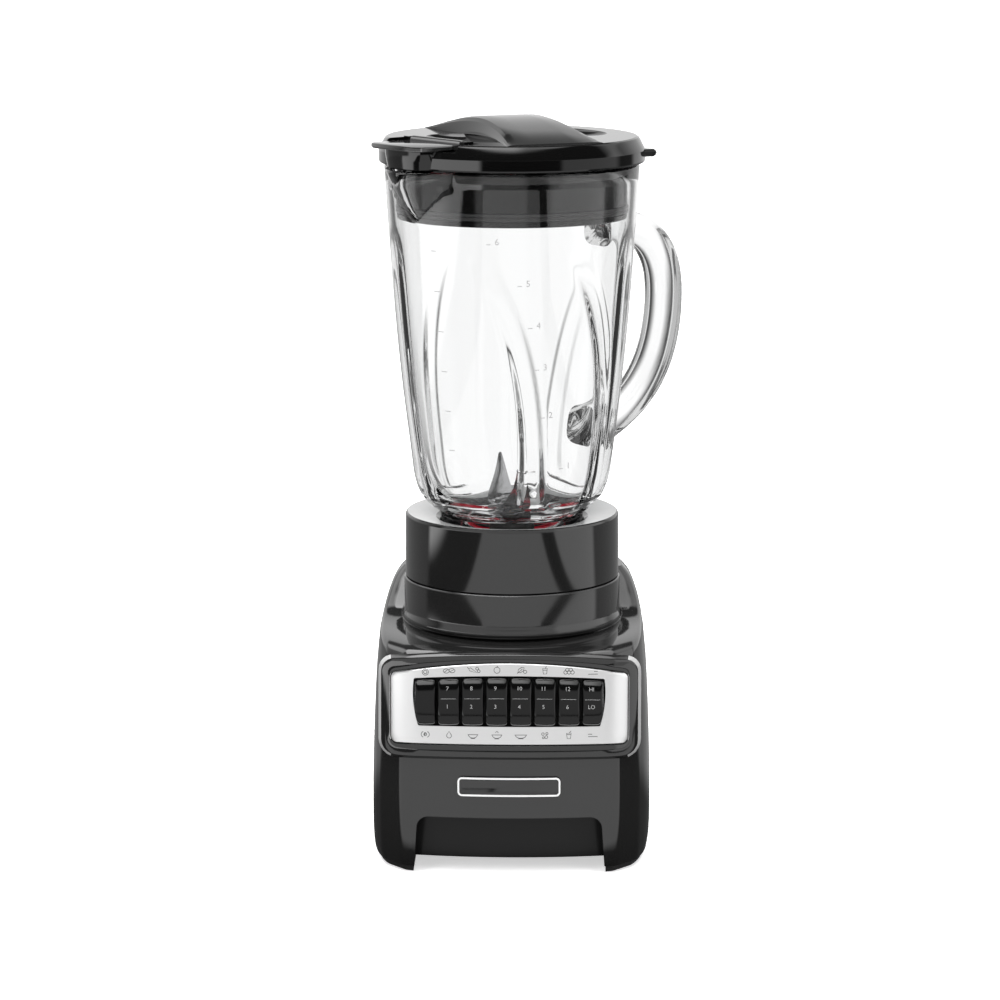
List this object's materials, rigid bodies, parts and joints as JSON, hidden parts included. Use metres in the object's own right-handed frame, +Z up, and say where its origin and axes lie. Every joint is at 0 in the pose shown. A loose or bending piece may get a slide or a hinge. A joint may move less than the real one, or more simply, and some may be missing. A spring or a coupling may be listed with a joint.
{
  "type": "countertop blender",
  "caption": "Countertop blender: moulded motor base with push keys, glass jug with handle and spout on a blade collar, arched lid with pouring flap.",
  "frame": {"origin": "middle of the whole object's footprint box, on the surface it stands on", "axes": "+Z up along the motor's axis; the keys face -Y; +X is to the right seen from the front"},
  "size_m": [0.168, 0.1744, 0.3902],
  "materials": {
    "housing_plastic": "charcoal moulded plastic, glossy",
    "black_plastic": "black moulded plastic, fine texture",
    "key_plastic": "black, glossy, with pale printed numbers",
    "lid_plastic": "black, glossy",
    "foot_rubber": "matte black",
    "coupling_rubber": "hard black rubber",
    "coupling_plastic": "black glass-filled nylon",
    "faceplate_metal": "silver, finely brushed",
    "screw_steel": "zinc plated",
    "bracket_steel": "pressed sheet, zinc plated",
    "shaft_steel": "turned",
    "blade_steel": "satin, bright at the ground edges",
    "lamination_steel": "stacked sheets, varnished",
    "enamelled_copper": "enamelled copper wire",
    "commutator_copper": "bare copper segments",
    "bronze": "sintered or sprung bronze",
    "brass": "drawn brass",
    "carbon": "pressed carbon",
    "board": "green resin board",
    "clear_glass": "clear pressed glass",
    "red_seal": "red silicone, satin",
    "dark_seal": "dark silicone, satin"
  },
  "bodies": {
    "base": {"housing": "housing_plastic", "bottom_plate": "black_plastic", "foot_front_left": "foot_rubber", "foot_front_right": "foot_rubber", "foot_rear_left": "foot_rubber", "foot_rear_right": "foot_rubber", "plate_screw_1": "screw_steel", "plate_screw_2": "screw_steel", "plate_screw_3": "screw_steel", "plate_screw_4": "screw_steel", "cord_inlet": "black_plastic", "control_bezel": "housing_plastic", "faceplate": "faceplate_metal", "switch_frame": "black_plastic", "key_spring_comb": "bronze", "circuit_board": "board", "badge": "faceplate_metal", "motor_stator": "lamination_steel", "field_coil_front": "enamelled_copper", "field_coil_rear": "enamelled_copper", "motor_bracket_lower": "bracket_steel", "motor_bracket_upper": "bracket_steel", "bearing_lower": "bronze", "bearing_upper": "bronze", "motor_bolt_front": "screw_steel", "motor_bolt_rear": "screw_steel", "brush_holder_left": "brass", "brush_holder_right": "brass", "brush_left": "carbon", "brush_right": "carbon"},
    "armature": {"armature_shaft": "shaft_steel", "armature_core": "lamination_steel", "armature_winding_lower": "enamelled_copper", "armature_winding_upper": "enamelled_copper", "commutator": "commutator_copper", "cooling_fan": "black_plastic", "drive_coupling": "coupling_rubber"},
    "key_off_pulse": {"key_off_pulse": "key_plastic"},
    "key_1_7": {"key_1_7": "key_plastic"},
    "key_2_8": {"key_2_8": "key_plastic"},
    "key_3_9": {"key_3_9": "key_plastic"},
    "key_4_10": {"key_4_10": "key_plastic"},
    "key_5_11": {"key_5_11": "key_plastic"},
    "key_6_12": {"key_6_12": "key_plastic"},
    "key_low_high": {"key_low_high": "key_plastic"},
    "latch_bar": {"latch_bar": "screw_steel"},
    "jar_base": {"jar_collar": "housing_plastic", "blade_hub": "shaft_steel", "jar_gasket": "red_seal", "blade_bushing": "bronze"},
    "blades": {"blade_shaft": "shaft_steel", "blade_lower": "blade_steel", "blade_upper": "blade_steel", "blade_nut": "shaft_steel", "driven_coupling": "coupling_plastic"},
    "jar": {"jar": "clear_glass"},
    "lid": {"lid": "lid_plastic", "lid_gasket": "dark_seal", "flap_pin": "screw_steel"},
    "spout_flap": {"spout_flap": "lid_plastic"}
  },
  "joints": [
    {"name": "motor_spin", "type": "hinge", "parent": "base", "child": "armature", "pos_m": [-0.00922, 0.00295, 0.074], "axis": [0, 0, 1], "continuous": true},
    {"name": "key_off_pulse_press", "type": "slide", "parent": "base", "child": "key_off_pulse", "axis": [0, 0.993, -0.1184], "range_m": [0, 0.0045], "stiffness_N_per_m": 300, "springref_m": -0.004},
    {"name": "key_1_7_press", "type": "slide", "parent": "base", "child": "key_1_7", "axis": [0, 0.993, -0.1184], "range_m": [0, 0.0045], "stiffness_N_per_m": 300, "springref_m": -0.004},
    {"name": "key_2_8_press", "type": "slide", "parent": "base", "child": "key_2_8", "axis": [0, 0.993, -0.1184], "range_m": [0, 0.0045], "stiffness_N_per_m": 300, "springref_m": -0.004},
    {"name": "key_3_9_press", "type": "slide", "parent": "base", "child": "key_3_9", "axis": [0, 0.993, -0.1184], "range_m": [0, 0.0045], "stiffness_N_per_m": 300, "springref_m": -0.004},
    {"name": "key_4_10_press", "type": "slide", "parent": "base", "child": "key_4_10", "axis": [0, 0.993, -0.1184], "range_m": [0, 0.0045], "stiffness_N_per_m": 300, "springref_m": -0.004},
    {"name": "key_5_11_press", "type": "slide", "parent": "base", "child": "key_5_11", "axis": [0, 0.993, -0.1184], "range_m": [0, 0.0045], "stiffness_N_per_m": 300, "springref_m": -0.004},
    {"name": "key_6_12_press", "type": "slide", "parent": "base", "child": "key_6_12", "axis": [0, 0.993, -0.1184], "range_m": [0, 0.0045], "stiffness_N_per_m": 300, "springref_m": -0.004},
    {"name": "key_low_high_press", "type": "slide", "parent": "base", "child": "key_low_high", "axis": [0, 0.993, -0.1184], "range_m": [0, 0.0045], "stiffness_N_per_m": 300, "springref_m": -0.004},
    {"name": "latch_slide", "type": "slide", "parent": "base", "child": "latch_bar", "axis": [1, 0, 0], "range_m": [0, 0.0025], "stiffness_N_per_m": 250, "springref_m": -0.003},
    {"name": "jar_lift", "type": "slide", "parent": "base", "child": "jar_base", "axis": [0, 0, 1], "range_m": [0, 0.06]},
    {"name": "blade_spin", "type": "hinge", "parent": "jar_base", "child": "blades", "pos_m": [-0.00922, 0.00295, 0.178], "axis": [0, 0, 1], "continuous": true},
    {"name": "jar_unscrew", "type": "hinge", "parent": "jar_base", "child": "jar", "pos_m": [-0.00922, 0.00295, 0.17], "axis": [0, 0, 1], "range_deg": [0, 360]},
    {"name": "lid_lift", "type": "slide", "parent": "jar", "child": "lid", "axis": [0, 0, 1], "range_m": [0, 0.08]},
    {"name": "flap_open", "type": "hinge", "parent": "lid", "child": "spout_flap", "pos_m": [-0.04658, -0.02952, 0.3784], "axis": [-0.6561, 0.7547, 0], "range_deg": [0, 100]}
  ],
  "couplings": [
    {"joint": "blade_spin", "follows": "motor_spin", "ratio": 1}
  ]
}
